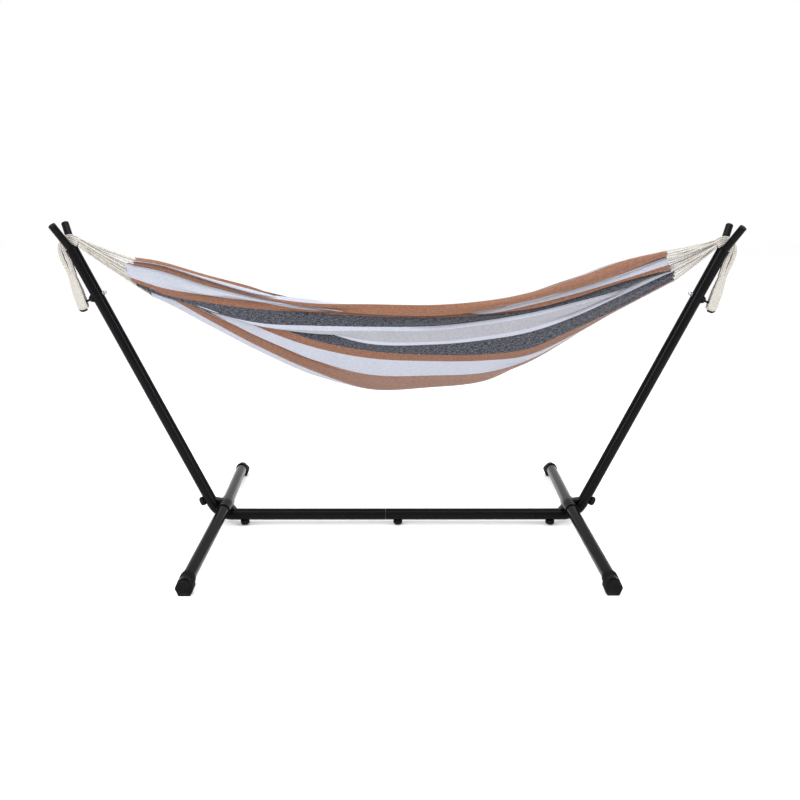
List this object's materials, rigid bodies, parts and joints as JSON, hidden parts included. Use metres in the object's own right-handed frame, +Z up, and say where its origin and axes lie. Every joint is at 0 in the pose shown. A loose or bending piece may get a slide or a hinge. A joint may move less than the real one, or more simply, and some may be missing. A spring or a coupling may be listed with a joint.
{
  "type": "hammock on stand",
  "caption": "Gathered striped cotton hammock slung by fanned cords between the forked arms of a free-standing tubular steel stand.",
  "frame": {"origin": "on the floor, under the middle of the base bar, at the centre of the object's footprint", "axes": "+X along the base bar, +Y across it along the cross legs, +Z up"},
  "size_m": [2.3418, 1.204, 1.0968],
  "materials": {
    "powder_coat": "satin near-black powder coat on steel tube",
    "zinc_steel": "bright zinc plated",
    "chrome": "bright plated domed nut",
    "rubber": "matt moulded rubber",
    "black_plastic": "moulded, slightly textured",
    "cotton_cord": "soft twisted cotton cord, undyed",
    "striped_cloth": "plain-woven cotton with terracotta, white, charcoal and grey warp stripes"
  },
  "bodies": {
    "stand": {"base_bar_left": "powder_coat", "base_bar_right": "powder_coat", "elbow_left": "powder_coat", "leg_sleeve_left": "powder_coat", "cross_leg_left": "powder_coat", "foot_left_front": "rubber", "foot_left_rear": "rubber", "arm_left": "powder_coat", "arm_plate_left": "powder_coat", "fork_left": "powder_coat", "fork_plug_left_front": "black_plastic", "fork_plug_left_rear": "black_plastic", "hook_left": "powder_coat", "hook_spacer_left": "black_plastic", "hook_washer_left": "zinc_steel", "hook_nut_left": "chrome", "cord_tail_left": "cotton_cord", "cord_loop_left": "cotton_cord", "elbow_right": "powder_coat", "leg_sleeve_right": "powder_coat", "cross_leg_right": "powder_coat", "foot_right_front": "rubber", "foot_right_rear": "rubber", "arm_right": "powder_coat", "arm_plate_right": "powder_coat", "fork_right": "powder_coat", "fork_plug_right_front": "black_plastic", "fork_plug_right_rear": "black_plastic", "hook_right": "powder_coat", "hook_spacer_right": "black_plastic", "hook_washer_right": "zinc_steel", "hook_nut_right": "chrome", "cord_tail_right": "cotton_cord", "cord_loop_right": "cotton_cord", "captive_nut_bar_left": "zinc_steel", "captive_nut_bar_middle": "zinc_steel", "captive_nut_bar_right": "zinc_steel", "captive_nut_arm_left": "zinc_steel", "captive_nut_arm_right": "zinc_steel"},
    "hammock": {"hammock_cloth": "striped_cloth", "cord_fan_left": "cotton_cord", "cord_fan_right": "cotton_cord"},
    "bar_left_stud": {"knob_stud_bar_left": "zinc_steel"},
    "bar_left_knob": {"knob_bar_left": "black_plastic"},
    "bar_middle_stud": {"knob_stud_bar_middle": "zinc_steel"},
    "bar_middle_knob": {"knob_bar_middle": "black_plastic"},
    "bar_right_stud": {"knob_stud_bar_right": "zinc_steel"},
    "bar_right_knob": {"knob_bar_right": "black_plastic"},
    "arm_left_stud": {"knob_stud_arm_left": "zinc_steel"},
    "arm_left_knob": {"knob_arm_left": "black_plastic"},
    "arm_right_stud": {"knob_stud_arm_right": "zinc_steel"},
    "arm_right_knob": {"knob_arm_right": "black_plastic"}
  },
  "joints": [
    {"name": "hammock_swing", "type": "hinge", "parent": "stand", "child": "hammock", "pos_m": [0, 0, 1.029], "axis": [1, 0, 0], "range_deg": [-35, 35]},
    {"name": "bar_left_stud_travel", "type": "slide", "parent": "stand", "child": "bar_left_stud", "axis": [0, 0, -1], "range_m": [0, 0.00375]},
    {"name": "bar_left_knob_turn", "type": "hinge", "parent": "bar_left_stud", "child": "bar_left_knob", "pos_m": [-0.562, 0, 0.042], "axis": [0, 0, -1], "range_deg": [0, 1080]},
    {"name": "bar_middle_stud_travel", "type": "slide", "parent": "stand", "child": "bar_middle_stud", "axis": [0, 0, -1], "range_m": [0, 0.00375]},
    {"name": "bar_middle_knob_turn", "type": "hinge", "parent": "bar_middle_stud", "child": "bar_middle_knob", "pos_m": [0, 0, 0.042], "axis": [0, 0, -1], "range_deg": [0, 1080]},
    {"name": "bar_right_stud_travel", "type": "slide", "parent": "stand", "child": "bar_right_stud", "axis": [0, 0, -1], "range_m": [0, 0.00375]},
    {"name": "bar_right_knob_turn", "type": "hinge", "parent": "bar_right_stud", "child": "bar_right_knob", "pos_m": [0.562, 0, 0.042], "axis": [0, 0, -1], "range_deg": [0, 1080]},
    {"name": "arm_left_stud_travel", "type": "slide", "parent": "stand", "child": "arm_left_stud", "axis": [-0.9018, 0, -0.4321], "range_m": [0, 0.00375]},
    {"name": "arm_left_knob_turn", "type": "hinge", "parent": "arm_left_stud", "child": "arm_left_knob", "pos_m": [-0.68775, 0, 0.10513], "axis": [-0.9018, 0, -0.4321], "range_deg": [0, 1080]},
    {"name": "arm_right_stud_travel", "type": "slide", "parent": "stand", "child": "arm_right_stud", "axis": [0.9018, 0, -0.4321], "range_m": [0, 0.00375]},
    {"name": "arm_right_knob_turn", "type": "hinge", "parent": "arm_right_stud", "child": "arm_right_knob", "pos_m": [0.68775, 0, 0.10513], "axis": [0.9018, 0, -0.4321], "range_deg": [0, 1080]}
  ],
  "couplings": [
    {"joint": "bar_left_knob_turn", "follows": "bar_left_stud_travel", "rad_per_m": 5026.5},
    {"joint": "bar_middle_knob_turn", "follows": "bar_middle_stud_travel", "rad_per_m": 5026.5},
    {"joint": "bar_right_knob_turn", "follows": "bar_right_stud_travel", "rad_per_m": 5026.5},
    {"joint": "arm_left_knob_turn", "follows": "arm_left_stud_travel", "rad_per_m": 5026.5},
    {"joint": "arm_right_knob_turn", "follows": "arm_right_stud_travel", "rad_per_m": 5026.5}
  ]
}
